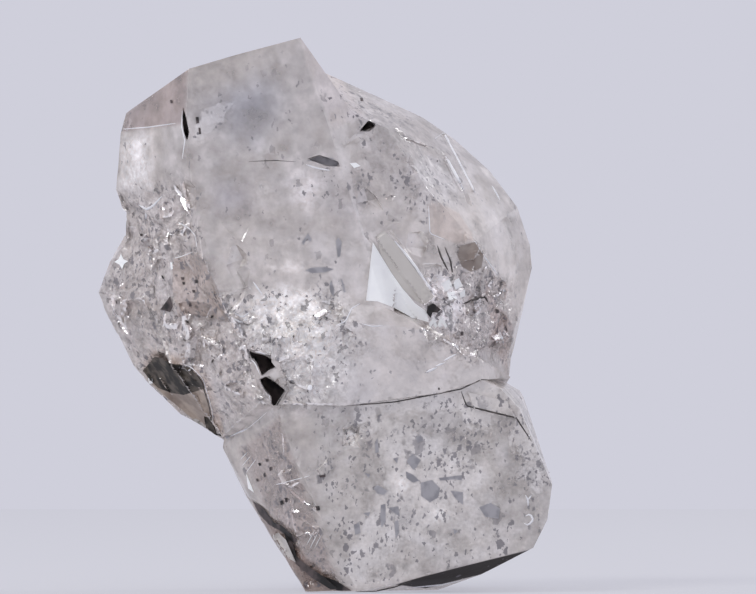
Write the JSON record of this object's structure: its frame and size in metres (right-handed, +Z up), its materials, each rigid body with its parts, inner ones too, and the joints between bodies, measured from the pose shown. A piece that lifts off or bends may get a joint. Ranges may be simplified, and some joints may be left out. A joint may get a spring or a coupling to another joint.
{
  "type": "rough diamond",
  "caption": "Uncut clear crystal, irregular and blocky with a waist, that stands upright on a small flat spot.",
  "frame": {"origin": "middle of the stone's box, at the height of the flat spot that it stands on", "axes": "+Z up through the peak, +X to the right and -Y towards the viewer of the broad front face"},
  "size_m": [0.0068, 0.0048, 0.0082],
  "materials": {
    "crystal": "clear pale grey crystal with a faint brown tint, dark specks, feathers and a partly frosted skin"
  },
  "bodies": {
    "root": {"rough_diamond": "crystal"}
  },
  "joints": []
}
